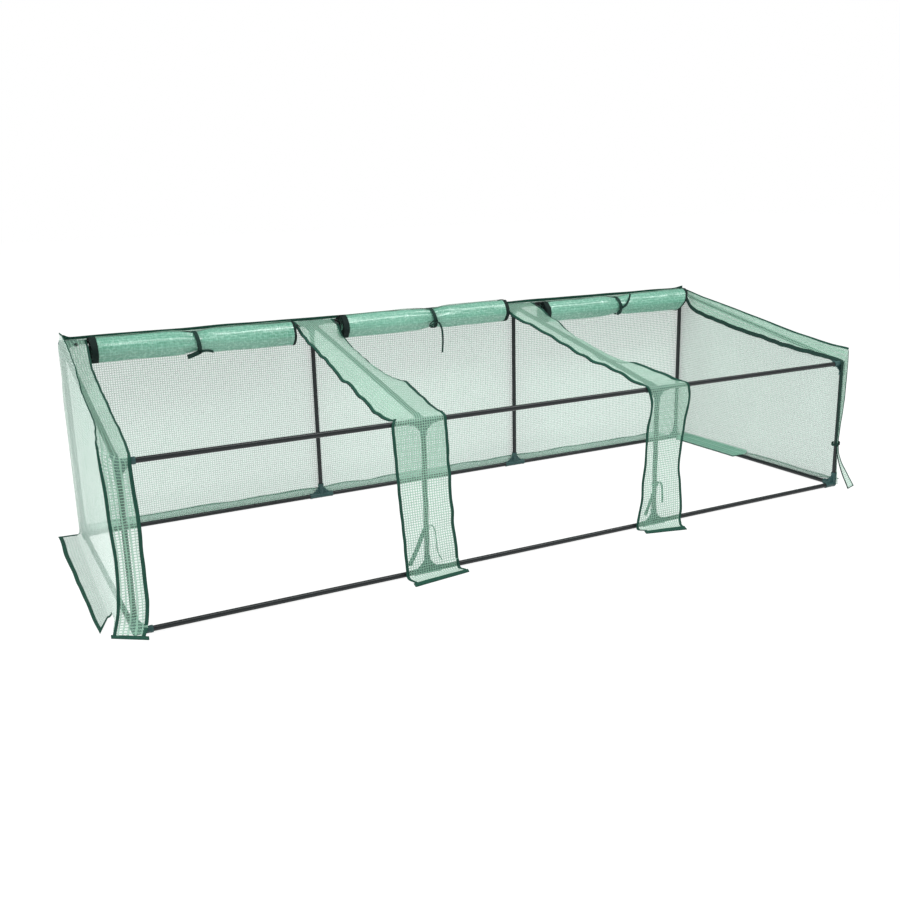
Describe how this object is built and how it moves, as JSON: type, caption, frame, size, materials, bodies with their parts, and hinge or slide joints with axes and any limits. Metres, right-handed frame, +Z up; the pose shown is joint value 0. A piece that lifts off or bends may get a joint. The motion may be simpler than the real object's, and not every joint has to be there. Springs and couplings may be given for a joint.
{
  "type": "row cover tunnel",
  "caption": "Lean-to mini greenhouse: a steel tube frame under a reinforced film cover whose roll-up doors slide down the slope between fixed strips.",
  "frame": {"origin": "on the ground, in the middle of the space that the whole cover takes, skirts included", "axes": "+X along the tunnel to the right as seen from its low open front, +Y from the front to the tall back wall, +Z up"},
  "size_m": [2.8084, 1.1244, 0.711],
  "materials": {
    "coated_steel": "satin dark powder coat",
    "moulded_plastic": "matte dark green moulded plastic",
    "cover_film": "translucent green film with a woven grid",
    "zip_metal": "dark painted zip slider"
  },
  "bodies": {
    "root": {"front_upright_1": "coated_steel", "front_upright_2": "coated_steel", "front_upright_3": "coated_steel", "front_upright_4": "coated_steel", "back_upright_1": "coated_steel", "back_upright_2": "coated_steel", "back_upright_3": "coated_steel", "back_upright_4": "coated_steel", "rafter_1": "coated_steel", "rafter_2": "coated_steel", "rafter_3": "coated_steel", "rafter_4": "coated_steel", "front_base_rail_1": "coated_steel", "front_base_rail_2": "coated_steel", "front_base_rail_3": "coated_steel", "back_base_rail_1": "coated_steel", "back_base_rail_2": "coated_steel", "back_base_rail_3": "coated_steel", "front_top_rail_1": "coated_steel", "front_top_rail_2": "coated_steel", "front_top_rail_3": "coated_steel", "ridge_tube_1": "coated_steel", "ridge_tube_2": "coated_steel", "ridge_tube_3": "coated_steel", "left_base_rail": "coated_steel", "right_base_rail": "coated_steel", "front_base_connector_1": "moulded_plastic", "front_base_connector_2": "moulded_plastic", "front_base_connector_3": "moulded_plastic", "front_base_connector_4": "moulded_plastic", "back_base_connector_1": "moulded_plastic", "back_base_connector_2": "moulded_plastic", "back_base_connector_3": "moulded_plastic", "back_base_connector_4": "moulded_plastic", "front_top_connector_1": "moulded_plastic", "front_top_connector_2": "moulded_plastic", "front_top_connector_3": "moulded_plastic", "front_top_connector_4": "moulded_plastic", "back_top_connector_1": "moulded_plastic", "back_top_connector_2": "moulded_plastic", "back_top_connector_3": "moulded_plastic", "back_top_connector_4": "moulded_plastic", "back_cover": "cover_film", "left_end_cover": "cover_film", "right_end_cover": "cover_film", "middle_strip_1": "cover_film", "middle_strip_2": "cover_film"},
    "door_1": {"door_flap_1": "cover_film"},
    "roll_1": {"door_roll_1": "cover_film"},
    "slider_1_left": {"zip_slider_1_left": "zip_metal"},
    "slider_1_right": {"zip_slider_1_right": "zip_metal"},
    "door_2": {"door_flap_2": "cover_film"},
    "roll_2": {"door_roll_2": "cover_film"},
    "slider_2_left": {"zip_slider_2_left": "zip_metal"},
    "slider_2_right": {"zip_slider_2_right": "zip_metal"},
    "door_3": {"door_flap_3": "cover_film"},
    "roll_3": {"door_roll_3": "cover_film"},
    "slider_3_left": {"zip_slider_3_left": "zip_metal"},
    "slider_3_right": {"zip_slider_3_right": "zip_metal"}
  },
  "joints": [
    {"name": "door_1_travel", "type": "slide", "parent": "root", "child": "door_1", "axis": [0, -0.9783, -0.2072], "range_m": [0, 0.828]},
    {"name": "roll_1_turn", "type": "hinge", "parent": "door_1", "child": "roll_1", "pos_m": [-0.88, 0.37, 0.66], "axis": [-1, 0, 0], "range_deg": [0, 1079.2]},
    {"name": "slider_1_left_travel", "type": "slide", "parent": "root", "child": "slider_1_left", "axis": [0, -0.9783, -0.2072], "range_m": [0, 0.86]},
    {"name": "slider_1_right_travel", "type": "slide", "parent": "root", "child": "slider_1_right", "axis": [0, -0.9783, -0.2072], "range_m": [0, 0.86]},
    {"name": "door_2_travel", "type": "slide", "parent": "root", "child": "door_2", "axis": [0, -0.9783, -0.2072], "range_m": [0, 0.828]},
    {"name": "roll_2_turn", "type": "hinge", "parent": "door_2", "child": "roll_2", "pos_m": [0, 0.37, 0.66], "axis": [-1, 0, 0], "range_deg": [0, 1079.2]},
    {"name": "slider_2_left_travel", "type": "slide", "parent": "root", "child": "slider_2_left", "axis": [0, -0.9783, -0.2072], "range_m": [0, 0.86]},
    {"name": "slider_2_right_travel", "type": "slide", "parent": "root", "child": "slider_2_right", "axis": [0, -0.9783, -0.2072], "range_m": [0, 0.86]},
    {"name": "door_3_travel", "type": "slide", "parent": "root", "child": "door_3", "axis": [0, -0.9783, -0.2072], "range_m": [0, 0.828]},
    {"name": "roll_3_turn", "type": "hinge", "parent": "door_3", "child": "roll_3", "pos_m": [0.88, 0.37, 0.66], "axis": [-1, 0, 0], "range_deg": [0, 1079.2]},
    {"name": "slider_3_left_travel", "type": "slide", "parent": "root", "child": "slider_3_left", "axis": [0, -0.9783, -0.2072], "range_m": [0, 0.86]},
    {"name": "slider_3_right_travel", "type": "slide", "parent": "root", "child": "slider_3_right", "axis": [0, -0.9783, -0.2072], "range_m": [0, 0.86]}
  ],
  "couplings": [
    {"joint": "roll_1_turn", "follows": "door_1_travel", "rad_per_m": 22.727},
    {"joint": "roll_2_turn", "follows": "door_2_travel", "rad_per_m": 22.727},
    {"joint": "roll_3_turn", "follows": "door_3_travel", "rad_per_m": 22.727}
  ]
}
